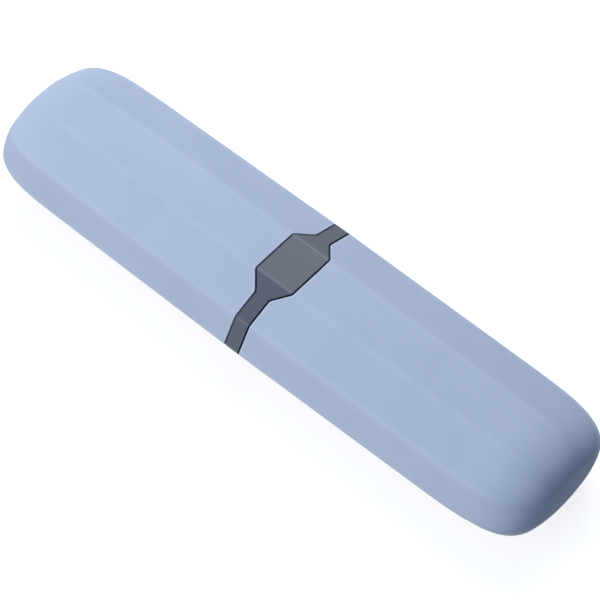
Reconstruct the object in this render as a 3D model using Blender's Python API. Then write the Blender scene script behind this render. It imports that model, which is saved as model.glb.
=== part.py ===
"""Travel toothbrush case: two identical half shells on an inner neck, with a collar ring between them.

The case lies on its flat underside. X runs along the case, with the base shell towards +X and the cap
shell towards -X, Y runs across it and +Z is up. The origin is on the underside, below the middle of
the collar ring. Every mesh is modelled about the case's centre line and lifted into place.
"""

import math

import bmesh
import bpy
from mathutils import Matrix, Vector

MM = 0.001

# Outside of the closed case
LENGTH = 210.0 * MM
WIDTH = 55.3 * MM
HEIGHT = 29.5 * MM

# Ten-sided cross-section at the collar, given by its crisp corners
TOP_FLAT = 16.5 * MM
SHOULDER_DROP = 5.6 * MM
SIDE_BEVEL = 5.15 * MM
CREASE_RADIUS = 1.8 * MM
INNER_RADIUS = 0.6 * MM
SIDE_DRAFT = math.radians(0.45)

# Rounding of the closed ends: how far back it reaches, how square it is, and the size left at the tip
END_PLAN_REACH = 38.0 * MM
END_PLAN_POWER = 4.0
END_PLAN_TIP = 0.3 * MM
END_SIDE_REACH = 21.8 * MM
END_SIDE_POWER = 2.8
END_SIDE_TIP = 4.2 * MM
END_OVAL_POWER = 10.0
END_FLAT_CUT = 0.2 * MM

# Half shells
SHELL_WALL = 1.6 * MM
PARTING_GAP = 0.5 * MM

# Collar ring with its six-sided badge on the top and bottom flats
BAND_WIDTH = 4.8 * MM
BADGE_LENGTH = 13.9 * MM
BADGE_TAPER = 5.1 * MM

# Neck sleeve inside both shells
NECK_LENGTH = 44.0 * MM
NECK_WALL = 1.4 * MM
NECK_CLEARANCE = 0.45 * MM
NECK_LEAD_IN = 0.8 * MM

# Key on the sleeve that sits in a pocket behind each badge
KEY_LENGTH = 6.0 * MM
KEY_WIDTH = 8.0 * MM
KEY_ENGAGEMENT = 0.6 * MM
KEY_CLEARANCE = 0.3 * MM

# Snap beads on the sleeve's flats and the dimples in the shells that they rest in
SNAP_LENGTH = 9.0 * MM
SNAP_WIDTH = 1.8 * MM
SNAP_RISE = 0.25 * MM
DIMPLE_DEPTH = 0.4 * MM
DIMPLE_CLEARANCE = 0.3 * MM

# Number of facets along each rounding
CREASE_STEPS = 3
FLAT_STEPS = 3
END_STEPS = 12
BEAD_STEPS = 12

# Finishes: linear colour and roughness
SHELL_BLUE = (0.38, 0.47, 0.68, 1.0)
COLLAR_SLATE = (0.13, 0.15, 0.19, 1.0)
SHELL_ROUGHNESS = 0.5
COLLAR_ROUGHNESS = 0.45


def clear_scene():
    """Empties the scene of objects."""
    for obj in list(bpy.data.objects):
        bpy.data.objects.remove(obj, do_unlink=True)


def collection(name, hidden=False):
    """A new collection in the scene."""
    made = bpy.data.collections.new(name)
    made.hide_render = hidden
    bpy.context.scene.collection.children.link(made)
    return made


def normals_at(points, index):
    """Outward normals of the two sides that meet at a corner of an anticlockwise outline."""
    corner = points[index]
    before = corner - points[index - 1]
    after = points[(index + 1) % len(points)] - corner
    return Vector((before.y, -before.x)).normalized(), Vector((after.y, -after.x)).normalized()


def inset_outline(points, distance):
    """An anticlockwise outline with every side moved in by distance, or out where it is negative."""
    moved = []
    for index, corner in enumerate(points):
        first, second = normals_at(points, index)
        moved.append(corner - (first + second) * distance / (1 + first.dot(second)))
    return moved


def round_outline(points, radius, steps):
    """A convex anticlockwise outline with each corner turned into an arc of that radius."""
    rounded = []
    for index, corner in enumerate(points):
        first, second = normals_at(points, index)
        centre = corner - (first + second) * radius / (1 + first.dot(second))
        turn = math.acos(min(1.0, first.dot(second)))
        for step in range(steps + 1):
            rounded.append(centre + Matrix.Rotation(turn * step / steps, 2) @ first * radius)
    return rounded


def divide_flats(points, steps):
    """The same outline with each straight stretch after an arc cut into as many equal pieces."""
    arc = CREASE_STEPS + 1
    divided = []
    for index, point in enumerate(points):
        divided.append(point)
        if index % arc == CREASE_STEPS:
            after = points[(index + 1) % len(points)]
            divided += [point.lerp(after, step / steps) for step in range(1, steps)]
    return divided


def section(inset):
    """The cross-section about the centre line, drawn in by inset, with rounded creases."""
    half_flat, half_width, half_height = TOP_FLAT / 2, WIDTH / 2, HEIGHT / 2
    quarter = [
        (half_width, 0),
        (half_width - SIDE_BEVEL, half_height - SHOULDER_DROP),
        (half_flat, half_height),
    ]
    upper = quarter + [(-y, z) for y, z in reversed(quarter)]
    corners = [Vector(c) for c in upper + [(y, -z) for y, z in reversed(upper[1:-1])]]
    radius = max(CREASE_RADIUS - inset, INNER_RADIUS)
    rounded = round_outline(inset_outline(corners, inset), radius, CREASE_STEPS)
    return divide_flats(rounded, FLAT_STEPS)


def end_share(distance, reach):
    """How far along the rounding of the end a place is: 0 where it starts, 1 at its crown."""
    return max(0.0, (distance - LENGTH / 2 - END_FLAT_CUT + reach) / reach)


def end_profile(distance, half, reach, power, tip):
    """Half size at a distance from the collar: constant, then a superellipse quarter down to the tip."""
    return tip + (half - tip) * (1 - end_share(distance, reach) ** power) ** (1 / power)


def towards_oval(point, half_width, half_height, share):
    """A point of the section moved by share of the way to the oval of the same width and height."""
    angle = math.atan2(point.y / half_height, point.x / half_width)
    oval = Vector((half_width * math.cos(angle), half_height * math.sin(angle)))
    return point.lerp(oval, share)


def ring(x, inset, end_inset=0.0):
    """The section at x, drawn in by inset, tapered by the draft and by the rounding of the end."""
    distance = abs(x) + end_inset
    width, height = WIDTH / 2 - inset, HEIGHT / 2 - inset
    plan = end_profile(distance, width, END_PLAN_REACH, END_PLAN_POWER, END_PLAN_TIP / 2) / width
    side = end_profile(distance, height, END_SIDE_REACH, END_SIDE_POWER, END_SIDE_TIP / 2) / height
    draft = 1 - math.tan(SIDE_DRAFT) * abs(x) / (WIDTH / 2)
    softness = end_share(distance, END_PLAN_REACH) ** END_OVAL_POWER
    outline = [towards_oval(point, width, height, softness) for point in section(inset)]
    return [Vector((x, y * draft * plan, z * side)) for y, z in outline]


def end_stations(end_inset=0.0):
    """Places of the rings from the collar's middle to the closed end, closer together on the rounding."""
    crown = LENGTH / 2 + END_FLAT_CUT - end_inset
    plan_start, side_start = crown - END_PLAN_REACH, crown - END_SIDE_REACH
    last = math.asin(1 - END_FLAT_CUT / END_SIDE_REACH)
    rounding = [side_start + END_SIDE_REACH * math.sin(last * k / END_STEPS) for k in range(END_STEPS + 1)]
    return sorted([0.0, plan_start, (plan_start + side_start) / 2] + rounding)


def loft(name, rings, home):
    """A closed solid through a row of rings with the same number of points."""
    mesh = bpy.data.meshes.new(name)
    bm = bmesh.new()
    rows = [[bm.verts.new(point) for point in points] for points in rings]
    for near, far in zip(rows, rows[1:]):
        for k in range(len(near)):
            bm.faces.new((near[k - 1], far[k - 1], far[k], near[k]))
    bm.faces.new(rows[0])
    bm.faces.new(rows[-1])
    bmesh.ops.recalc_face_normals(bm, faces=bm.faces)
    bm.to_mesh(mesh)
    bm.free()
    return place(name, mesh, home)


def place(name, mesh, home):
    """An object for a mesh that is modelled about the centre line, in a collection."""
    obj = bpy.data.objects.new(name, mesh)
    obj.location.z = HEIGHT / 2
    home.objects.link(obj)
    return obj


def plate(name, outline, thickness, home):
    """A flat plate of that outline, lying across the centre line, as a mesh with welded caps."""
    curve = bpy.data.curves.new(name, "CURVE")
    curve.dimensions = "2D"
    curve.fill_mode = "BOTH"
    curve.extrude = thickness / 2
    spline = curve.splines.new("POLY")
    spline.points.add(len(outline) - 1)
    spline.use_cyclic_u = True
    for point, (x, y) in zip(spline.points, outline):
        point.co = (x, y, 0, 1)
    drawn = place(name + "_outline", curve, home)
    bpy.context.view_layer.update()
    mesh = bpy.data.meshes.new_from_object(drawn.evaluated_get(bpy.context.evaluated_depsgraph_get()))
    bpy.data.objects.remove(drawn, do_unlink=True)
    bm = bmesh.new()
    bm.from_mesh(mesh)
    bmesh.ops.remove_doubles(bm, verts=bm.verts, dist=0.001 * MM)
    bmesh.ops.recalc_face_normals(bm, faces=bm.faces)
    bm.to_mesh(mesh)
    bm.free()
    return place(name, mesh, home)


def block(name, size, home):
    """A box of that size about the middle of the collar."""
    mesh = bpy.data.meshes.new(name)
    bm = bmesh.new()
    bmesh.ops.create_cube(bm, size=1.0, matrix=Matrix.Diagonal((*size, 1)))
    bm.to_mesh(mesh)
    bm.free()
    return place(name, mesh, home)


def lenses(name, size, places, home):
    """Flattened spheres of that size at each place, as one cutter of separate bodies."""
    mesh = bpy.data.meshes.new(name)
    bm = bmesh.new()
    for spot in places:
        shape = Matrix.Translation(spot) @ Matrix.Diagonal((*size, 1))
        bmesh.ops.create_uvsphere(bm, u_segments=BEAD_STEPS, v_segments=BEAD_STEPS, radius=0.5, matrix=shape)
    bm.to_mesh(mesh)
    bm.free()
    return place(name, mesh, home)


def combine(obj, tool, operation):
    """Joins, cuts or clips an object by another."""
    tool.hide_render = True
    tool.display_type = "WIRE"
    modifier = obj.modifiers.new(tool.name, "BOOLEAN")
    modifier.object = tool
    modifier.operation = operation
    modifier.solver = "EXACT"


def settle(obj):
    """Gives an object the mesh that its modifiers make."""
    bpy.context.view_layer.update()
    mesh = bpy.data.meshes.new_from_object(obj.evaluated_get(bpy.context.evaluated_depsgraph_get()))
    obj.modifiers.clear()
    obj.data = mesh


def finish(obj, colour, roughness):
    """Smooth shading between sharp creases, and the object's own plastic."""
    obj.data.shade_smooth()
    obj.data.set_sharp_from_angle(angle=math.radians(30))
    plastic = bpy.data.materials.new(obj.name + "_plastic")
    plastic.use_nodes = True
    shader = plastic.node_tree.nodes["Principled BSDF"]
    shader.inputs["Base Color"].default_value = colour
    shader.inputs["Roughness"].default_value = roughness
    shader.inputs["Metallic"].default_value = 0.0
    plastic.diffuse_color = colour
    obj.data.materials.clear()
    obj.data.materials.append(plastic)


def collar_outline(clearance):
    """Plan outline of the collar: the band with the badge across the top flat, grown by clearance."""
    half_band, half_badge, half_flat = BAND_WIDTH / 2, BADGE_LENGTH / 2, TOP_FLAT / 2
    quarter = [(half_badge, half_flat), (half_band, half_flat + BADGE_TAPER), (half_band, WIDTH)]
    far_side = quarter + [(-x, y) for x, y in reversed(quarter)]
    corners = far_side + [(-x, -y) for x, y in far_side]
    return inset_outline([Vector(c) for c in corners], -clearance)


def snap_places(depth, sides):
    """Places on the top and bottom flats, midway from badge to mouth, at a depth below the outside."""
    distance = (BADGE_LENGTH + NECK_LENGTH) / 4
    height = HEIGHT / 2 - depth
    return [Vector((side * distance, 0, up * height)) for side in sides for up in (1, -1)]


def make_shell(home, cutters):
    """The half shell towards +X: a rounded solid, hollowed by its core and notched for the collar."""
    shell = loft("base_shell", [ring(x, 0.0) for x in end_stations()], home)
    core_places = [-NECK_LENGTH / 2] + end_stations(SHELL_WALL)
    core = loft("shell_core", [ring(x, SHELL_WALL, SHELL_WALL) for x in core_places], cutters)
    notch = plate("shell_notch", collar_outline(PARTING_GAP), 2 * HEIGHT, cutters)
    grown = 2 * DIMPLE_CLEARANCE
    dimple_size = (SNAP_WIDTH + grown, SNAP_LENGTH + grown, 2 * DIMPLE_DEPTH)
    dimples = lenses("snap_dimples", dimple_size, snap_places(SHELL_WALL, (1,)), cutters)
    combine(shell, core, "DIFFERENCE")
    combine(shell, notch, "DIFFERENCE")
    combine(shell, dimples, "DIFFERENCE")
    settle(shell)
    return shell


def turn_about(shell, home):
    """The cap: the same moulding as the base shell, turned end for end."""
    cap = place("cap_shell", shell.data.copy(), home)
    cap.rotation_euler.z = math.pi
    return cap


def make_collar(home, cutters):
    """The ring between the shells, clipped to the collar's outline, with a key pocket behind each badge."""
    collar = loft("collar_ring", [ring(x, 0.0) for x in (-BADGE_LENGTH, 0.0, BADGE_LENGTH)], home)
    bore = loft("collar_bore", [ring(x, SHELL_WALL) for x in (-NECK_LENGTH, 0.0, NECK_LENGTH)], cutters)
    clip = plate("collar_clip", collar_outline(0.0), 2 * HEIGHT, cutters)
    pocket_height = HEIGHT - 2 * SHELL_WALL + 2 * (KEY_ENGAGEMENT + KEY_CLEARANCE)
    grown = 2 * KEY_CLEARANCE
    pocket = block("key_pocket", (KEY_LENGTH + grown, KEY_WIDTH + grown, pocket_height), cutters)
    combine(collar, bore, "DIFFERENCE")
    combine(collar, clip, "INTERSECT")
    combine(collar, pocket, "DIFFERENCE")
    settle(collar)
    return collar


def make_neck(home, cutters):
    """The sleeve that both shells slide over, with chamfered mouths, keys and snap beads."""
    outside = SHELL_WALL + NECK_CLEARANCE
    inside = outside + NECK_WALL
    mouth = NECK_LENGTH / 2
    shoulder = mouth - NECK_LEAD_IN
    chamfer = NECK_LEAD_IN / 2
    rings = [ring(-mouth, outside + chamfer), ring(-shoulder, outside), ring(0.0, outside)]
    rings += [ring(shoulder, outside), ring(mouth, outside + chamfer)]
    neck = loft("neck_sleeve", rings, home)
    bore = loft("neck_bore", [ring(x, inside) for x in (-NECK_LENGTH, 0.0, NECK_LENGTH)], cutters)
    key_height = HEIGHT - 2 * SHELL_WALL + 2 * KEY_ENGAGEMENT
    key = block("neck_key", (KEY_LENGTH, KEY_WIDTH, key_height), cutters)
    bead_height = 4 * SNAP_RISE
    bead_middle = outside + bead_height / 2 - SNAP_RISE
    bead_size = (SNAP_WIDTH, SNAP_LENGTH, bead_height)
    beads = lenses("snap_beads", bead_size, snap_places(bead_middle, (1, -1)), cutters)
    combine(neck, key, "UNION")
    combine(neck, beads, "UNION")
    combine(neck, bore, "DIFFERENCE")
    settle(neck)
    return neck


def pull_axis(name, parent, home):
    """An empty on the centre line at the collar, pointing the way that what it carries pulls off."""
    axis = place(name, None, home)
    axis.empty_display_type = "SINGLE_ARROW"
    axis.rotation_euler.y = -math.pi / 2
    if parent:
        hang(axis, parent)
    return axis


def hang(obj, parent):
    """Parents an object and leaves it where it is."""
    bpy.context.view_layer.update()
    obj.parent = parent
    obj.matrix_parent_inverse = parent.matrix_world.inverted()


def main():
    clear_scene()
    case = collection("toothbrush_case")
    cutters = collection("cutters", hidden=True)
    base = make_shell(case, cutters)
    cap = turn_about(base, case)
    collar = make_collar(case, cutters)
    neck = make_neck(case, cutters)
    finish(base, SHELL_BLUE, SHELL_ROUGHNESS)
    finish(cap, SHELL_BLUE, SHELL_ROUGHNESS)
    finish(collar, COLLAR_SLATE, COLLAR_ROUGHNESS)
    finish(neck, COLLAR_SLATE, COLLAR_ROUGHNESS)
    neck_pull = pull_axis("neck_pull_axis", None, case)
    cap_pull = pull_axis("cap_pull_axis", neck_pull, case)
    hang(collar, neck_pull)
    hang(neck, neck_pull)
    hang(cap, cap_pull)


main()
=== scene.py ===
"""Looks of the travel toothbrush case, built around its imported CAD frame.

The case lies on its flat underside, X along it, with the base shell towards +X and the cap shell towards
-X. Every piece is a surface worked out on a grid: t runs round the ten-sided section, and the rows run along
the case. A row is an x and an inset for every column. The inset is how far a point lies inside the skin.
"""

import math

import bpy
import numpy as np
from mathutils import Matrix, Vector


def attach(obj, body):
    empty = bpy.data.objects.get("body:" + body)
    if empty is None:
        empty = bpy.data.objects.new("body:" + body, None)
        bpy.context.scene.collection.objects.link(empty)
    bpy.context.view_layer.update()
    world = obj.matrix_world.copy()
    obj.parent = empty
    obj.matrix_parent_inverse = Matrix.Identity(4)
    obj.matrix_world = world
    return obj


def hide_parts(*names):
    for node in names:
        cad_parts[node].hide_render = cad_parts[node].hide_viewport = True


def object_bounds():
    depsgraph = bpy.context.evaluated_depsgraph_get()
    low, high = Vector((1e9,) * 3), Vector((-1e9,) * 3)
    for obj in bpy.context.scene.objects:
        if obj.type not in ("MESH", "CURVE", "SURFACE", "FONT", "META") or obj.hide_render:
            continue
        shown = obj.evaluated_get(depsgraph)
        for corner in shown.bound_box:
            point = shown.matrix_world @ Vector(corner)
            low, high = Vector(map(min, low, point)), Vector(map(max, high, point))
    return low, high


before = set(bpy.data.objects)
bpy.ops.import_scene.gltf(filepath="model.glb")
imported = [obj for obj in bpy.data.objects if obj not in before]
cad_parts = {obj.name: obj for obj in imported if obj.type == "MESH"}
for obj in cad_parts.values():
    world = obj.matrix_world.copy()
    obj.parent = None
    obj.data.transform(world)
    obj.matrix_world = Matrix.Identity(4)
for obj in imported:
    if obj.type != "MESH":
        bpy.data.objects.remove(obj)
cad_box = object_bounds()

MM = 0.001

# Outside of the closed case and its ten-sided section, as in the CAD
LENGTH = 210.0 * MM
WIDTH = 55.3 * MM
HEIGHT = 29.5 * MM
TOP_FLAT = 16.5 * MM
SHOULDER_DROP = 5.6 * MM
SIDE_BEVEL = 5.15 * MM
CREASE_RADIUS = 1.8 * MM
INNER_RADIUS = 0.6 * MM
SIDE_DRAFT = math.radians(0.45)

# Rounding of the closed ends
END_PLAN_REACH = 38.0 * MM
END_PLAN_POWER = 4.0
END_PLAN_TIP = 0.3 * MM
END_SIDE_REACH = 21.8 * MM
END_SIDE_POWER = 2.8
END_SIDE_TIP = 4.2 * MM
END_OVAL_POWER = 10.0
END_FLAT_CUT = 0.2 * MM
END_CROWN = 0.28 * MM

# Shells, collar and neck
SHELL_WALL = 1.6 * MM
PARTING_GAP = 0.5 * MM
BAND_WIDTH = 4.8 * MM
BADGE_LENGTH = 13.9 * MM
BADGE_TAPER = 5.1 * MM
NECK_LENGTH = 44.0 * MM
NECK_WALL = 1.4 * MM
NECK_CLEARANCE = 0.45 * MM
NECK_LEAD_IN = 0.8 * MM
KEY_LENGTH = 6.0 * MM
KEY_WIDTH = 8.0 * MM
KEY_ENGAGEMENT = 0.6 * MM
KEY_CLEARANCE = 0.3 * MM
SNAP_LENGTH = 9.0 * MM
SNAP_WIDTH = 1.8 * MM
SNAP_RISE = 0.25 * MM
DIMPLE_DEPTH = 0.4 * MM
DIMPLE_CLEARANCE = 0.3 * MM

# The raised seat round the sleeve under the collar's band, which the CAD leaves out. It fills the clearance
# there up to a push fit, so that no light shows between sleeve and collar.
SEAT_LENGTH = 4.0 * MM
SEAT_CLEARANCE = 0.01 * MM

# Edges that the CAD leaves sharp: the rim of a shell, the collar's edges, the mouths of the neck and the
# corners of the collar's outline. The last value is how wide a steep side of a key, pocket or seat is.
RIM_ROUND = 0.3 * MM
COLLAR_ROUND = 0.1 * MM
MOUTH_ROUND = 0.2 * MM
CORNER_BLEND = 0.5 * MM
STEP_RAMP = 0.06 * MM

# The softened outer edge of a mouth of the neck: how far before the mouth and how far inside the lip each
# point lies, in shares of the mouth's round
MOUTH_EDGE = ((1.0, -0.5), (0.3, -0.1), (0.0, 0.3))

# Wear and painted highlight: how wide the creases show rubbed paler, a paler tone that also paints the
# highlight their rounding catches, and where along a shell they fade out
SHELL_RUB_AND_HIGHLIGHT_WIDTH = 1.15 * MM
COLLAR_RUB_AND_HIGHLIGHT_WIDTH = 0.6 * MM
RUB_AND_HIGHLIGHT_FADE_START = 90.0 * MM
RUB_AND_HIGHLIGHT_FADE_END = 100.5 * MM

# How much a shell's rim and the creases beside its top and bottom flats are rubbed paler, set against its
# other creases, and how far in from the rim this paler rub and the painted gap shade reach, in shares of
# the rim's round. The paler rub also paints the highlight that the rim's round catches.
RIM_RUB_AND_HIGHLIGHT = 6.0
FLAT_CREASE_RUB_AND_HIGHLIGHT = 0.55
RIM_REACH = 1.5

# Painted shade: how much of the plastic's colour a dark colour covers in the parting gaps, standing in for
# the shadow in them: a little on a shell's rim, which shows when the case opens, and more on the collar's
# flanks
SHELL_PAINTED_GAP_SHADE = 0.18
COLLAR_PAINTED_GAP_SHADE = 0.6
PAINTED_GAP_SHADE_COLOUR = "17181C"

# Patterns in the plastic. The flow clouds have about their real size. On a real moulding the etched grain is
# about 0.05 mm and the draw lines are about 0.1 mm apart, too fine to show in the render, so both are drawn
# coarser here. The draw lines are as many times longer than that as the squeeze along X says.
CLOUD_SIZE = 16.0 * MM
CLOUD_DETAIL = 3.0
CLOUD_RANGE = (0.3, 0.7)
GRAIN_SIZE = 0.45 * MM
LINE_SPACING = 0.6 * MM
LINE_SQUEEZE = 0.04
FINE_DETAIL = 2.0
RELIEF_STRENGTH = 0.35
RELIEF_HEIGHT = 0.02 * MM

# The plastic's refractive index, how much the clouds change the roughness to either side, and how much
# smoother the core side is polished
PLASTIC_IOR = 1.49
CLOUD_ROUGHNESS = 0.03
CORE_POLISH = 0.12

# The floor: half its side in metres, how far it lies under the case, so that the two faces don't touch, its
# colour and its white glow to the camera, and its colour to the case
FLOOR_HALF = 3.0
FLOOR_DROP = 0.05 * MM
PAPER_COLOUR = "A8A8A8"
PAPER_GLOW = 0.8
TABLE_COLOUR = "727272"

# Softboxes: the place in metres, the side of the square in metres, the power in watts and the colour
WHITE = "FFFFFF"
SOFTBOXES = {
    "top_softbox": ((-0.515, 0.6, 1.155), 0.8, 4.0, WHITE),
    "front_left_softbox": ((-0.915, -0.955, 0.465), 0.8, 7.1, WHITE),
    "rear_left_panel": ((-0.33, 0.3, 0.42), 0.4, 1.52, WHITE),
    "rear_panel": ((-0.12, 0.42, 0.42), 0.4, 0.9, WHITE),
    "front_panel": ((0.0, -0.6, 0.2), 0.4, 1.97, WHITE),
    "cool_end_panel": ((0.6, -0.15, 0.12), 0.4, 0.2, "94BCFF"),
}

# The even light from all round
FILL_COLOUR = "B8D9FF"
FILL_STRENGTH = 0.25

# The photo's view, fitted to the case's outline and edges in it, with the distance in metres and the lens and
# the sensor in millimetres
CAMERA_AZIMUTH = math.radians(40.37)
CAMERA_ELEVATION = math.radians(55.65)
CAMERA_ROLL = math.radians(1.18)
CAMERA_AIM = Vector((3.01, 0.01, 13.35)) * MM
CAMERA_DISTANCE = 0.9
CAMERA_LENS = 180.0
CAMERA_SENSOR = 36.0

# Fineness round the section: on each arc, on the flats, where the collar's outline turns, and over the snap
# beads. The turns of the notch lie about 0.2 mm further out than the collar's own, so the close columns are
# centred between. The last two values are how many places are tried to find a t, and the digits it keeps.
ARC_STEPS = 10
FLAT_SPACING = 0.9 * MM
NOTCH_STEPS = 5
NOTCH_SPACING = 0.13 * MM
NOTCH_SHIFT = 0.1 * MM
BEAD_SPACING = 0.4 * MM
LOOKUP_POINTS = 8001
T_DIGITS = 7

# Fineness of every rounded edge, and along a shell: the closed end, the inner wall up to the dimple, the
# dimple, and the outside. Near the rim the rows follow the notch, at shares of the way from the square rows
# to the rim or back. The last values are the rings of an end face, at shares of the way out from its middle.
ROUND_STEPS = 5
PLAN_STEPS = 8
END_STEPS = 46
INNER_WALL_POINTS = 10
INNER_WALL_END = 4.0 * MM
DIMPLE_POINTS = 19
DIMPLE_MARGIN = 1.15
DIMPLE_END = 0.5 * MM
LIP_SHARES = (0.0, 0.35, 0.7, 0.9)
OUTER_LIP_SHARES = (0.03, 0.12, 0.3, 0.55, 0.8, 1.0)
OUTER_LIP_END = 14.0 * MM
OUTSIDE_POINTS = 15
END_FACE_SHARES = np.array([0.12, 0.3, 0.55, 0.8, 0.95, 0.985])

# Fineness along the collar and the neck, as shares of their half lengths, as numbers of rows, or as lengths
# kept free between groups of rows. The rows of the pocket stay just inside the last row of the bore before
# them.
COLLAR_SHARES = (0.0, 0.3, 0.6, 0.85, 0.97)
COLLAR_BORE_SHARES = (0.97, 0.8, 0.6)
POCKET_LIMIT = 0.59
NECK_BORE_SHARES = (0.97, 0.8, 0.6, 0.4, 0.2, 0.0)
KEY_END = 1.0 * MM
KEY_TO_SNAP_POINTS = 8
SNAP_MARGIN = 1.5 * MM
SNAP_POINTS = 21
LEAD_IN_MARGIN = 0.05 * MM
SNAP_TO_MOUTH_POINTS = 5

# Where the plan's rounding starts, where the end face's edge stands, and the middle of a snap bead
PLAN_START = LENGTH / 2 + END_FLAT_CUT - END_PLAN_REACH
END_EDGE = LENGTH / 2 - END_CROWN
SNAP_PLACE = (BADGE_LENGTH + NECK_LENGTH) / 4

# The section's corners, anticlockwise from the +Y side. Each has the normals of the side before it and the
# side after, the cosine between them, the mitre that it moves along when the section is drawn in, and the
# angles that its arc turns through and starts at.
CORNERS = 10
HALF_ROUND = CORNERS // 2
HALF_FLAT = TOP_FLAT / 2
QUARTER = [(WIDTH / 2, 0), (WIDTH / 2 - SIDE_BEVEL, HEIGHT / 2 - SHOULDER_DROP), (HALF_FLAT, HEIGHT / 2)]
UPPER = QUARTER + [(-y, z) for y, z in reversed(QUARTER)]
OUTLINE = np.array(UPPER + [(y, -z) for y, z in reversed(UPPER[1:-1])])
SIDES = OUTLINE - np.roll(OUTLINE, 1, axis=0)
ARRIVING = np.stack([SIDES[:, 1], -SIDES[:, 0]], axis=1) / np.linalg.norm(SIDES, axis=1)[:, None]
LEAVING = np.roll(ARRIVING, -1, axis=0)
BETWEEN = np.sum(ARRIVING * LEAVING, axis=1)
MITRE = (ARRIVING + LEAVING) / (1 + BETWEEN)[:, None]
TURN = np.arccos(BETWEEN)
HEADING = np.arctan2(ARRIVING[:, 1], ARRIVING[:, 0])

# Each half round counts its corners from 0: its side's own, and the two at the edges of its flat
CORNER_IN_HALF = np.arange(CORNERS) % HALF_ROUND
SIDE_CORNER = 0
FLAT_CORNERS = (2, 3)

# The share of t on an arc, and the t of the middle of the +Y side's arc and of the middle of the top flat
ARC_SHARE = 0.5
SIDE_MIDDLE = SIDE_CORNER + ARC_SHARE / 2
TOP_MIDDLE = FLAT_CORNERS[0] + (1 + ARC_SHARE) / 2

# Radius of each corner: soft on the shells, and crisp on the collar but for its sides
SOFT_CREASES = np.full(CORNERS, CREASE_RADIUS)
CRISP_CREASES = np.where(CORNER_IN_HALF == SIDE_CORNER, CREASE_RADIUS, INNER_RADIUS)

# How much each corner is rubbed paler, a tone that also paints its highlight: all alike, or less at the
# edges of a shell's flats
EVEN_RUB_AND_HIGHLIGHT = np.ones(CORNERS)
SHELL_RUB_AND_HIGHLIGHT = np.where(np.isin(CORNER_IN_HALF, FLAT_CORNERS), FLAT_CREASE_RUB_AND_HIGHLIGHT, 1.0)


def corner_arc(corner, share, inset, creases):
    """A corner's arc. Its centre is the corner moved along the mitre by inset plus radius, and the point
    turns about it from the arriving side's normal by share of the corner's turn."""
    radius = np.maximum(creases[corner] - inset, INNER_RADIUS)
    centre = OUTLINE[corner] - MITRE[corner] * (inset + radius)[..., None]
    angle = HEADING[corner] + TURN[corner] * share
    return centre + radius[..., None] * np.stack([np.cos(angle), np.sin(angle)], axis=-1)


def section(t, inset, creases=SOFT_CREASES):
    """The section drawn in by inset. The whole part of t counts the corners anticlockwise from the +Y side.
    The rest of t runs round that corner's arc up to the arc's share, and then straight on to the next."""
    t, inset = np.broadcast_arrays(np.asarray(t, float), np.asarray(inset, float))
    corner = np.floor(t).astype(int) % CORNERS
    part = t - np.floor(t)
    along = np.clip((part - ARC_SHARE) / (1 - ARC_SHARE), 0, 1)[..., None]
    arc = corner_arc(corner, np.clip(part / ARC_SHARE, 0, 1), inset, creases)
    following = corner_arc((corner + 1) % CORNERS, np.zeros_like(t), inset, creases)
    return arc + (following - arc) * along


def end_share(distance, reach):
    """How far along the rounding of the end a place is: 0 where it starts, and 1 where it would close, which
    is beyond the case's end by the length that the flat end face cuts off."""
    return np.clip((distance - LENGTH / 2 - END_FLAT_CUT + reach) / reach, 0, 1)


def end_profile(distance, half, reach, power, tip):
    """Half size at a distance from the collar: constant, then a superellipse quarter down to the tip."""
    return tip + (half - tip) * (1 - end_share(distance, reach) ** power) ** (1 / power)


def case_surface(x, t, inset, end_inset=0.0, creases=SOFT_CREASES):
    """Point of the case's form at x and t. The section is drawn in by inset, softened near the end towards
    an oval of its own width and height, scaled across by the draft and by both end roundings, and lifted to
    lie on its underside. An end inset brings the end roundings nearer, as behind a wall that thick."""
    x, t, inset = np.broadcast_arrays(np.asarray(x, float), np.asarray(t, float), np.asarray(inset, float))
    distance = np.abs(x) + end_inset
    width, height = WIDTH / 2 - inset, HEIGHT / 2 - inset
    plan = end_profile(distance, width, END_PLAN_REACH, END_PLAN_POWER, END_PLAN_TIP / 2) / width
    side = end_profile(distance, height, END_SIDE_REACH, END_SIDE_POWER, END_SIDE_TIP / 2) / height
    draft = 1 - math.tan(SIDE_DRAFT) * np.abs(x) / (WIDTH / 2)
    outline = section(t, inset, creases)
    y, z = outline[..., 0], outline[..., 1]
    angle = np.arctan2(z / height, y / width)
    softness = end_share(distance, END_PLAN_REACH) ** END_OVAL_POWER
    y = y + (width * np.cos(angle) - y) * softness
    z = z + (height * np.sin(angle) - z) * softness
    return np.stack([x, y * draft * plan * INSIDE_BOX, z * side + HEIGHT / 2], axis=-1)


# The CAD's coarser arcs are a hair narrower than true ones, so the width is scaled to stay in its box
INSIDE_BOX = cad_box[1].y / section(np.array([SIDE_MIDDLE]), np.zeros(1))[0, 0]


def across(t, inset, creases=SOFT_CREASES):
    """Distance from the case's long upright plane of the surface at t, at the edge of the collar's band."""
    return np.abs(case_surface(BAND_WIDTH / 2, t, inset, 0.0, creases)[..., 1])


def smaller(a, b):
    """The smaller of two lengths, with the change from one to the other rounded over the corner blend."""
    overlap = np.maximum(CORNER_BLEND - np.abs(a - b), 0)
    return np.minimum(a, b) - overlap**2 / (4 * CORNER_BLEND)


def collar_reach(y, grown):
    """Half length of the collar at a distance y across: the band, the slant and the badge, each moved out by
    grown, the smaller of slant and badge and then the larger of that and the band."""
    slant = np.array([BADGE_TAPER, (BADGE_LENGTH - BAND_WIDTH) / 2])
    slant /= np.linalg.norm(slant)
    sloping = BADGE_LENGTH / 2 + (grown - slant[1] * (y - HALF_FLAT)) / slant[0]
    return -smaller(-(BAND_WIDTH / 2 + grown), -smaller(BADGE_LENGTH / 2 + grown, sloping))


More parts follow.
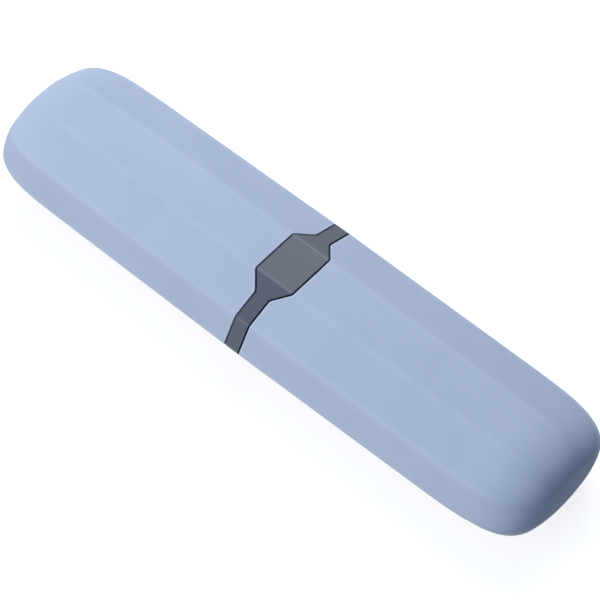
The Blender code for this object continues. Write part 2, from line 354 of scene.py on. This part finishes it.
def t_at(places, inset, creases):
    """The t of the points on the upper +Y quarter that lie at those distances across."""
    fine = np.linspace(SIDE_MIDDLE, TOP_MIDDLE, LOOKUP_POINTS)
    widths = section(fine, np.full_like(fine, inset), creases)[:, 0] * INSIDE_BOX
    return np.interp(-np.asarray(places), -widths, fine)


def all_round(quarter):
    """Sorted t of a quarter from the +Y side to the top's middle, mirrored into the other three."""
    beyond_top = 2 * TOP_MIDDLE - quarter
    mirrored = np.concatenate([quarter, beyond_top, HALF_ROUND + quarter, HALF_ROUND + beyond_top]) % CORNERS
    return np.unique(np.round(mirrored, T_DIGITS))


def columns(inset, extra=(), creases=SOFT_CREASES):
    """Places round the section: even steps on each arc, steps on each flat that shorten towards its ends as
    a cosine does, and close ones where the collar's outline turns, with extra ones at distances across."""
    corners = range(len(QUARTER))
    arcs = [k + np.linspace(0, ARC_SHARE, ARC_STEPS + 1) for k in corners]
    counts = [int(np.linalg.norm(SIDES[k + 1]) / FLAT_SPACING) for k in corners]
    shares = [(1 - np.cos(np.linspace(0, np.pi, count + 1))) / 2 for count in counts]
    flats = [k + ARC_SHARE + (1 - ARC_SHARE) * share for k, share in zip(corners, shares)]
    turns = [HALF_FLAT + NOTCH_SHIFT, HALF_FLAT + BADGE_TAPER + NOTCH_SHIFT]
    spread = np.arange(-NOTCH_STEPS, NOTCH_STEPS + 1) * NOTCH_SPACING
    places = np.concatenate([turn + spread for turn in turns] + [np.asarray(extra, float)])
    quarter = np.concatenate(arcs + flats + [t_at(places, inset, creases)])
    return all_round(quarter[(quarter >= SIDE_MIDDLE) & (quarter <= TOP_MIDDLE)])


def rounded_edge(radius):
    """A quarter circle from (radius, 0) to (0, radius): how far each point stands back from either face."""
    angle = np.linspace(0, np.pi / 2, ROUND_STEPS + 1)
    return radius * (1 - np.sin(angle)), radius * (1 - np.cos(angle))


def step(value, edge):
    """1 inside a boundary and 0 outside, with a steep ramp between."""
    return np.clip((edge - np.abs(value)) / STEP_RAMP + 0.5, 0, 1)


def lens(x, y, middle, half_length, half_width, half_depth):
    """Height of a flattened sphere over its middle plane at each point, 0 outside it."""
    return half_depth * np.sqrt(np.maximum(1 - ((x - middle) / half_length) ** 2 - (y / half_width) ** 2, 0))


def make_piece(name, grid, values, ends=None):
    """A closed mesh from a grid of points whose columns run round the section. Rows close on themselves, or
    on two pole points. Values are named numbers for each grid point, kept as attributes of the mesh."""
    rows, count = grid.shape[:2]
    index = np.arange(rows * count).reshape(rows, count)
    beside = np.roll(index, -1, axis=1)
    if ends is None:
        after, after_beside = np.roll(index, -1, axis=0), np.roll(beside, -1, axis=0)
        faces = np.stack([index, beside, after_beside, after], axis=-1).reshape(-1, 4).tolist()
        points = grid.reshape(-1, 3)
    else:
        faces = np.stack([index[:-1], beside[:-1], beside[1:], index[1:]], axis=-1).reshape(-1, 4).tolist()
        first, last = np.full(count, rows * count), np.full(count, rows * count + 1)
        faces += np.stack([first, beside[0], index[0]], axis=-1).tolist()
        faces += np.stack([last, index[-1], beside[-1]], axis=-1).tolist()
        points = np.concatenate([grid.reshape(-1, 3), ends])
    mesh = bpy.data.meshes.new(name)
    mesh.from_pydata(points.tolist(), [], faces)
    mesh.shade_smooth()
    for key, value in values.items():
        flat = np.broadcast_to(value, (rows, count)).reshape(-1)
        if ends is not None:
            flat = np.concatenate([flat, flat[:1], flat[-1:]])
        mesh.attributes.new(key, "FLOAT", "POINT").data.foreach_set("value", flat.astype(np.float32))
    piece = bpy.data.objects.new(name, mesh)
    bpy.context.scene.collection.objects.link(piece)
    return piece


def crease_value(t, width, rub=EVEN_RUB_AND_HIGHLIGHT):
    """How much a place is rubbed paler, a tone that also paints the highlight of the rounded corners: each
    corner of the section has its own level, which falls off around it as a bell curve of that width, and the
    largest of them counts."""
    gaps = np.linalg.norm(section(t, np.zeros_like(t))[:, None, :] - OUTLINE, axis=-1)
    return (rub * np.exp(-((gaps / width) ** 2))).max(axis=-1)


def on_flats(t):
    """1 on the top and bottom flats of the section and 0 elsewhere."""
    return (np.abs(t % HALF_ROUND - TOP_MIDDLE) < (1 - ARC_SHARE) / 2).astype(float)


def flank_share(depth, rounding):
    """1 between the skin and the inner wall, falling to 0 over the rounded edge at either."""
    return np.clip(depth / rounding, 0, 1) * np.clip((SHELL_WALL - depth) / rounding, 0, 1)


def end_stations(steps, edge):
    """Places along the rounding of the end, up to its edge: even steps where only the plan rounds, then even
    turns of the angle whose sine is the share of the side rounding."""
    side_start = LENGTH / 2 + END_FLAT_CUT - END_SIDE_REACH
    last = math.asin((edge - side_start) / END_SIDE_REACH)
    rounding = side_start + END_SIDE_REACH * np.sin(last * np.arange(steps + 1) / steps)
    return np.concatenate([np.linspace(PLAN_START, side_start, PLAN_STEPS + 1)[:-1], rounding])


def shell_rows(t):
    """Rows of a half shell towards +X, from the inside of its closed end, along the inner wall, round the
    rim and back along the outside to the edge of the end face. The rim's x is the collar's reach plus the
    gap plus how far its rounded edges stand back there."""
    wall = np.full_like(t, SHELL_WALL)
    skin = np.zeros_like(t)
    back, down = rounded_edge(RIM_ROUND)

    def rim(inset, setback):
        return collar_reach(across(t, inset), PARTING_GAP + setback)

    reach = SNAP_WIDTH / 2 + DIMPLE_CLEARANCE
    dented = SNAP_PLACE + np.linspace(DIMPLE_MARGIN, -DIMPLE_MARGIN, DIMPLE_POINTS) * reach
    along = np.concatenate([
        end_stations(END_STEPS // 2, LENGTH / 2)[::-1] - SHELL_WALL,
        np.linspace(PLAN_START - SHELL_WALL, SNAP_PLACE + INNER_WALL_END, INNER_WALL_POINTS)[1:],
        dented,
    ])
    y = across(t, SHELL_WALL)
    dent = lens(along[:, None], y, SNAP_PLACE, reach, SNAP_LENGTH / 2 + DIMPLE_CLEARANCE, DIMPLE_DEPTH)
    rows = [(x + skin, wall - depth * on_flats(t)) for x, depth in zip(along, dent)]
    start, lip = dented[-1] - DIMPLE_END, rim(SHELL_WALL, RIM_ROUND)
    rows += [(start + (lip - start) * share, wall) for share in LIP_SHARES]
    rows += [(rim(SHELL_WALL - d, s), wall - d) for d, s in zip(down, back)]
    rows += [(rim(d, s), skin + d) for d, s in zip(back, down)]
    lip = rim(0.0, RIM_ROUND)
    rows += [(lip + (OUTER_LIP_END - lip) * share, skin) for share in OUTER_LIP_SHARES]
    straight = np.linspace(OUTER_LIP_END, PLAN_START, OUTSIDE_POINTS)[1:-1]
    return rows + [(x + skin, skin) for x in (*straight, *end_stations(END_STEPS, END_EDGE))]


def end_face(ring, middle, shares):
    """Rings of an end face. Each is the given ring drawn in towards the middle by a share, and stands nearer
    the middle's x by one less the share's square, so that the face is a shallow crown."""
    shares = shares[:, None]
    rings = middle + (ring - middle) * shares[..., None]
    rings[..., 0] = middle[0] + (ring[:, 0] - middle[0]) * shares**2
    return rings


def make_shell(name, turned):
    """A half shell as one closed surface. The cap is the same moulding, turned half round about Z."""
    t = columns(0.0)
    rows = shell_rows(t)
    depth = np.array([inset for _, inset in rows])
    grid = np.array([case_surface(x, t, inset, inset) for x, inset in rows])
    ends = np.array([(LENGTH / 2 - SHELL_WALL, 0, HEIGHT / 2), (LENGTH / 2, 0, HEIGHT / 2)])
    inner_face = end_face(grid[0], ends[0], END_FACE_SHARES)
    outer_face = end_face(grid[-1], ends[1], END_FACE_SHARES[::-1])
    grid = np.concatenate([inner_face, grid, outer_face])
    rings = len(END_FACE_SHARES)
    depth = np.concatenate([depth[:1].repeat(rings, 0), depth, depth[-1:].repeat(rings, 0)])
    inside = np.clip(depth / SHELL_WALL, 0, 1)
    # The creases and the rim are rubbed paler, a tone that also paints the highlight their rounding catches,
    # fading out towards the end
    fade = np.clip((RUB_AND_HIGHLIGHT_FADE_END - np.abs(grid[..., 0])) / (RUB_AND_HIGHLIGHT_FADE_END - RUB_AND_HIGHLIGHT_FADE_START), 0, 1)
    creases = crease_value(t, SHELL_RUB_AND_HIGHLIGHT_WIDTH, SHELL_RUB_AND_HIGHLIGHT) * fade * (1 - inside)
    from_rim = np.abs(grid[..., 0]) - collar_reach(np.abs(grid[..., 1]), PARTING_GAP)
    at_rim = np.clip(RIM_REACH - from_rim / RIM_ROUND, 0, 1)
    rim = RIM_RUB_AND_HIGHLIGHT * at_rim * np.clip(1 - depth / RIM_ROUND, 0, 1)
    # Painted shade on the rim's flank: a dark colour where the gap's shadow falls
    grime = SHELL_PAINTED_GAP_SHADE * at_rim * flank_share(depth, RIM_ROUND)
    values = {"crease": creases + rim, "inside": inside, "grime": grime}
    if turned:
        grid, ends = grid * (-1, -1, 1), ends * (-1, -1, 1)
    return make_piece(name, grid, values, ends)


def full_loop(half):
    """The rows of one half, from the outside's middle round to the bore's middle, and their mirror."""
    return half + [(-x, inset) for x, inset in half[-2:0:-1]]


def make_collar():
    """The collar ring: outside, rounded edge, flank and bore as one closed loop of rows. A row's x is a share
    of the collar's reach, or the reach less how far the rounded edge stands back. The bore is cut deeper, on
    the top and bottom flats, over the length and width of the key pockets."""
    ramp = np.array([-1, 1]) * STEP_RAMP
    pocket_length, pocket_width = KEY_LENGTH / 2 + KEY_CLEARANCE, KEY_WIDTH / 2 + KEY_CLEARANCE
    t = columns(0.0, pocket_width + ramp, CRISP_CREASES)
    skin, wall = np.zeros_like(t), np.full_like(t, SHELL_WALL)
    back, down = rounded_edge(COLLAR_ROUND)

    def edge(inset, setback):
        return collar_reach(across(t, inset, CRISP_CREASES), -setback)

    half = [(edge(0.0, COLLAR_ROUND) * share, skin) for share in COLLAR_SHARES]
    half += [(edge(d, s), skin + d) for d, s in zip(down, back)]
    half += [(edge(SHELL_WALL - s, d), wall - s) for d, s in zip(down, back)]
    bore = edge(SHELL_WALL, COLLAR_ROUND)
    half += [(bore * share, wall) for share in COLLAR_BORE_SHARES]
    over_width = step(across(t, SHELL_WALL, CRISP_CREASES), pocket_width) * on_flats(t)
    deeper = (KEY_ENGAGEMENT + KEY_CLEARANCE) * over_width
    for x in (*(pocket_length - ramp), pocket_length / 2, 0.0):
        limit = bore * POCKET_LIMIT * x / pocket_length
        half.append((np.minimum(x, limit), wall - deeper * step(x, pocket_length)))
    rows = full_loop(half)
    grid = np.array([case_surface(x, t, inset, 0.0, CRISP_CREASES) for x, inset in rows])
    depth = np.array([inset for _, inset in rows])
    inside = np.clip(depth / SHELL_WALL, 0, 1)
    # Paler rub on the crisp creases, which also paints their highlight, and painted shade on the flanks where
    # the gap's shadow falls
    crease = crease_value(t, COLLAR_RUB_AND_HIGHLIGHT_WIDTH) * (1 - inside)
    grime = COLLAR_PAINTED_GAP_SHADE * flank_share(depth, COLLAR_ROUND)
    return make_piece("collar", grid, {"crease": crease, "inside": inside, "grime": grime})


def make_neck():
    """The sleeve: its outside with keys and snap beads, chamfered and rounded mouths, and its bore, as one
    closed loop of rows. The outside's inset is less by the key's rise or by the bead's height over the flat,
    and under the collar's band at least by the rise of the seat, which fills the clearance there. Its
    creases get no paler rub with its painted highlight, and it gets no painted gap shade, since a value that
    a mesh lacks counts as 0."""
    outside = SHELL_WALL + NECK_CLEARANCE
    lip, bore = outside + NECK_LEAD_IN / 2, outside + NECK_WALL
    mouth = NECK_LENGTH / 2
    lead_in = mouth - NECK_LEAD_IN
    ramp = np.array([-1, 1]) * STEP_RAMP
    t = columns(outside, np.append(np.arange(0, SNAP_LENGTH / 2, BEAD_SPACING), KEY_WIDTH / 2 + ramp))
    skin, y = np.zeros_like(t), across(t, outside)
    back, down = rounded_edge(MOUTH_ROUND)
    places = np.concatenate([
        [0.0, KEY_LENGTH / 4],
        *(SEAT_LENGTH / 2 + ramp[:, None]),
        *(KEY_LENGTH / 2 + ramp[:, None]),
        np.linspace(KEY_LENGTH / 2 + KEY_END, SNAP_PLACE - SNAP_MARGIN, KEY_TO_SNAP_POINTS),
        SNAP_PLACE + np.linspace(-1, 1, SNAP_POINTS) * SNAP_WIDTH / 2,
        np.linspace(SNAP_PLACE + SNAP_MARGIN, lead_in - LEAD_IN_MARGIN, SNAP_TO_MOUTH_POINTS),
    ])[:, None]
    key = (outside - SHELL_WALL + KEY_ENGAGEMENT) * step(places, KEY_LENGTH / 2) * step(y, KEY_WIDTH / 2)
    bead = lens(places, y, SNAP_PLACE, SNAP_WIDTH / 2, SNAP_LENGTH / 2, 2 * SNAP_RISE) - SNAP_RISE
    seat = (NECK_CLEARANCE - SEAT_CLEARANCE) * step(places, SEAT_LENGTH / 2)
    raised = np.maximum((key + np.maximum(bead, 0)) * on_flats(t), seat)
    half = [(x + skin, outside - rise) for x, rise in zip(places[:, 0], raised)]
    half.append((lead_in + skin, skin + outside))
    for before, deeper in MOUTH_EDGE:
        half.append((mouth - before * MOUTH_ROUND + skin, skin + (lip + deeper * MOUTH_ROUND)))
    half += [(mouth - d + skin, bore - s + skin) for d, s in zip(down, back)]
    half += [(mouth * share + skin, bore + skin) for share in NECK_BORE_SHARES]
    rows = full_loop(half)
    grid = np.array([case_surface(x, t, inset) for x, inset in rows])
    depth = np.array([inset for _, inset in rows])
    inside = np.clip((depth - outside) / NECK_WALL, 0, 1)
    return make_piece("neck", grid, {"inside": inside})


def linear(code):
    """An sRGB hex colour as linear red, green, blue and full opacity, by the sRGB standard's curve."""
    value = np.array([int(code[k : k + 2], 16) for k in (0, 2, 4)]) / 255
    turned = np.where(value <= 0.04045, value / 12.92, ((value + 0.055) / 1.055) ** 2.4)
    return (*turned.tolist(), 1.0)


def node(tree, kind, inputs=(), **settings):
    """Adds a node. Settings are its properties; inputs are its sockets, each with a value or an output."""
    made = tree.nodes.new(kind)
    for key, value in settings.items():
        setattr(made, key, value)
    for key, value in dict(inputs).items():
        if isinstance(value, bpy.types.NodeSocket):
            tree.links.new(value, made.inputs[key])
        else:
            made.inputs[key].default_value = value
    return made


def empty_tree(owner):
    """The cleared node tree of a material or a world."""
    owner.use_nodes = True
    owner.node_tree.nodes.clear()
    return owner.node_tree


def moulded_plastic(name, shade, deeper, crease, crease_share, roughness, mirror_level):
    """Injection-moulded satin polypropylene: a fine etched skin that scatters the light, a faint cloudiness
    from the melt's flow, creases and rims rubbed a little paler, a tone that also paints the highlight their
    rounding catches, a dark painted shade in the parting gaps, and a smoother core side with draw-polish
    lines along X. Its IOR is the usual one. Its roughness and its mirror level started from typical ones and
    were then matched to the photo."""
    material = bpy.data.materials.new(name)
    tree = empty_tree(material)
    where = node(tree, "ShaderNodeTexCoord").outputs["Object"]
    crease_near = node(tree, "ShaderNodeAttribute", attribute_name="crease").outputs["Fac"]
    inside = node(tree, "ShaderNodeAttribute", attribute_name="inside").outputs["Fac"]
    grime = node(tree, "ShaderNodeAttribute", attribute_name="grime").outputs["Fac"]

    clouds = {"Vector": where, "Scale": 1 / CLOUD_SIZE, "Detail": CLOUD_DETAIL}
    cloud = node(tree, "ShaderNodeTexNoise", clouds).outputs["Fac"]
    spread = {"Value": cloud, "From Min": CLOUD_RANGE[0], "From Max": CLOUD_RANGE[1]}
    clouded = node(tree, "ShaderNodeMapRange", spread).outputs["Result"]
    bodies = {0: clouded, 6: linear(shade), 7: linear(deeper)}
    body = node(tree, "ShaderNodeMix", bodies, data_type="RGBA").outputs[2]
    # Paler tone on rubbed creases and rims, which also paints their highlight
    rubbed = node(tree, "ShaderNodeMath", {0: crease_near, 1: crease_share}, operation="MULTIPLY").outputs[0]
    paler = node(tree, "ShaderNodeMix", {0: rubbed, 6: body, 7: linear(crease)}, data_type="RGBA").outputs[2]
    # Painted shade: a dark colour over the flanks of the parting gaps, where their shadow falls
    shaded_in_gaps = {0: grime, 6: paler, 7: linear(PAINTED_GAP_SHADE_COLOUR)}
    colour = node(tree, "ShaderNodeMix", shaded_in_gaps, data_type="RGBA").outputs[2]

    limits = {"To Min": roughness - CLOUD_ROUGHNESS, "To Max": roughness + CLOUD_ROUGHNESS}
    dulled = node(tree, "ShaderNodeMapRange", {"Value": cloud, **limits}).outputs["Result"]
    gloss = node(tree, "ShaderNodeMix", {0: inside, 2: dulled, 3: roughness - CORE_POLISH}).outputs[0]

    grains = {"Vector": where, "Scale": 1 / GRAIN_SIZE, "Detail": FINE_DETAIL}
    grain = node(tree, "ShaderNodeTexNoise", grains).outputs["Fac"]
    squeezed = {"Vector": where, "Scale": (LINE_SQUEEZE, 1.0, 1.0)}
    stretched = node(tree, "ShaderNodeMapping", squeezed).outputs["Vector"]
    streaks = {"Vector": stretched, "Scale": 1 / LINE_SPACING, "Detail": FINE_DETAIL}
    lines = node(tree, "ShaderNodeTexNoise", streaks).outputs["Fac"]
    relief = node(tree, "ShaderNodeMix", {0: inside, 2: grain, 3: lines}).outputs[0]
    raised = {"Height": relief, "Strength": RELIEF_STRENGTH, "Distance": RELIEF_HEIGHT}
    bump = node(tree, "ShaderNodeBump", raised).outputs["Normal"]

    links = {"Base Color": colour, "Roughness": gloss, "Normal": bump}
    plain = {"IOR": PLASTIC_IOR, "Metallic": 0.0, "Specular IOR Level": mirror_level}
    shader = node(tree, "ShaderNodeBsdfPrincipled", {**links, **plain})
    node(tree, "ShaderNodeOutputMaterial", {"Surface": shader.outputs["BSDF"]})
    return material


def seen_directly(tree):
    """1 on a ray from the camera, a reflection or a clear part, and 0 on one that only brings light: the
    largest of those three."""
    rays = node(tree, "ShaderNodeLightPath").outputs
    two = {0: rays["Is Camera Ray"], 1: rays["Is Glossy Ray"]}
    either = node(tree, "ShaderNodeMath", two, operation="MAXIMUM").outputs[0]
    three = {0: either, 1: rays["Is Transmission Ray"]}
    return node(tree, "ShaderNodeMath", three, operation="MAXIMUM").outputs[0]


def make_floor():
    """A plain floor of matt white card. The camera sees it as paper white with the case's faint shadow, and
    light that bounces from it on to the case is that of a grey table."""
    corners = [(x * FLOOR_HALF, y * FLOOR_HALF, -FLOOR_DROP) for x, y in ((-1, -1), (1, -1), (1, 1), (-1, 1))]
    mesh = bpy.data.meshes.new("floor")
    mesh.from_pydata(corners, [], [(0, 1, 2, 3)])
    floor = bpy.data.objects.new("floor", mesh)
    bpy.context.scene.collection.objects.link(floor)
    material = bpy.data.materials.new("white_studio_floor")
    tree = empty_tree(material)
    paper = node(tree, "ShaderNodeBsdfDiffuse", {"Color": linear(PAPER_COLOUR)}).outputs[0]
    glow = node(tree, "ShaderNodeEmission", {"Color": linear(WHITE), "Strength": PAPER_GLOW}).outputs[0]
    bright = node(tree, "ShaderNodeAddShader", {0: paper, 1: glow}).outputs[0]
    table = node(tree, "ShaderNodeBsdfDiffuse", {"Color": linear(TABLE_COLOUR)}).outputs[0]
    mixed = node(tree, "ShaderNodeMixShader", {0: seen_directly(tree), 1: table, 2: bright})
    node(tree, "ShaderNodeOutputMaterial", {"Surface": mixed.outputs[0]})
    mesh.materials.append(material)


def make_softbox(name, place, size, power, colour):
    """A soft square studio lamp at that place, aimed at the case and hidden from the camera."""
    light = bpy.data.lights.new(name, "AREA")
    light.shape = "SQUARE"
    light.size = size
    light.energy = power
    light.color = linear(colour)[:3]
    lamp = bpy.data.objects.new(name, light)
    lamp.location = Vector(place)
    lamp.rotation_mode = "QUATERNION"
    lamp.rotation_quaternion = (Vector((0, 0, HEIGHT / 2)) - lamp.location).to_track_quat("-Z", "Y")
    lamp.visible_camera = False
    bpy.context.scene.collection.objects.link(lamp)


def make_world():
    """White where the camera, a reflection or a clear part sees it, and a soft even fill for the rest."""
    world = bpy.data.worlds.new("studio")
    bpy.context.scene.world = world
    tree = empty_tree(world)
    fill = node(tree, "ShaderNodeBackground", {"Color": linear(FILL_COLOUR), "Strength": FILL_STRENGTH})
    white = node(tree, "ShaderNodeBackground", {"Color": linear(WHITE), "Strength": 1.0})
    both = {0: seen_directly(tree), 1: fill.outputs[0], 2: white.outputs[0]}
    mixed = node(tree, "ShaderNodeMixShader", both)
    node(tree, "ShaderNodeOutputWorld", {"Surface": mixed.outputs[0]})


def make_camera():
    """The photo's view: from the base shell's side and above, at a distance back from an aim."""
    level = math.cos(CAMERA_ELEVATION)
    sideways, forwards = math.sin(CAMERA_AZIMUTH) * level, -math.cos(CAMERA_AZIMUTH) * level
    back = Vector((sideways, forwards, math.sin(CAMERA_ELEVATION)))
    data = bpy.data.cameras.new("camera")
    data.lens = CAMERA_LENS
    data.sensor_width = CAMERA_SENSOR
    camera = bpy.data.objects.new("camera", data)
    turned = (-back).to_track_quat("-Z", "Y").to_matrix().to_4x4() @ Matrix.Rotation(CAMERA_ROLL, 4, "Z")
    camera.matrix_world = Matrix.Translation(CAMERA_AIM + back * CAMERA_DISTANCE) @ turned
    bpy.context.scene.collection.objects.link(camera)
    bpy.context.scene.camera = camera


def dress(piece, material, body, replaced):
    """Gives a piece its material, the body that it moves with and the node that it stands for."""
    piece.data.materials.append(material)
    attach(piece, body)
    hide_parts(replaced)


scene = bpy.context.scene
scene.view_settings.view_transform = "Standard"
make_camera()
make_world()
make_floor()
for lamp, settings in SOFTBOXES.items():
    make_softbox(lamp, *settings)

# Pale blue polypropylene of the shells: satin, with hardly a mirror in it
blue_polypropylene = moulded_plastic(
    "pale_blue_moulded_polypropylene",
    shade="AEBBD1",
    deeper="AAB7CD",
    crease="DDE6F4",
    crease_share=0.1,
    roughness=0.55,
    mirror_level=0.12,
)

# Slate polypropylene of the collar and neck: a little glossier, and the paler rub on its creases, a tone
# that also paints their highlight, stands out more
slate_polypropylene = moulded_plastic(
    "slate_moulded_polypropylene",
    shade="555A67",
    deeper="515663",
    crease="7C8290",
    crease_share=0.5,
    roughness=0.45,
    mirror_level=0.25,
)

dress(make_shell("base_case", False), blue_polypropylene, "base", "base_shell")
dress(make_shell("cap_case", True), blue_polypropylene, "cap", "cap_shell")
dress(make_collar(), slate_polypropylene, "neck", "collar_ring")
dress(make_neck(), slate_polypropylene, "neck", "neck_sleeve")
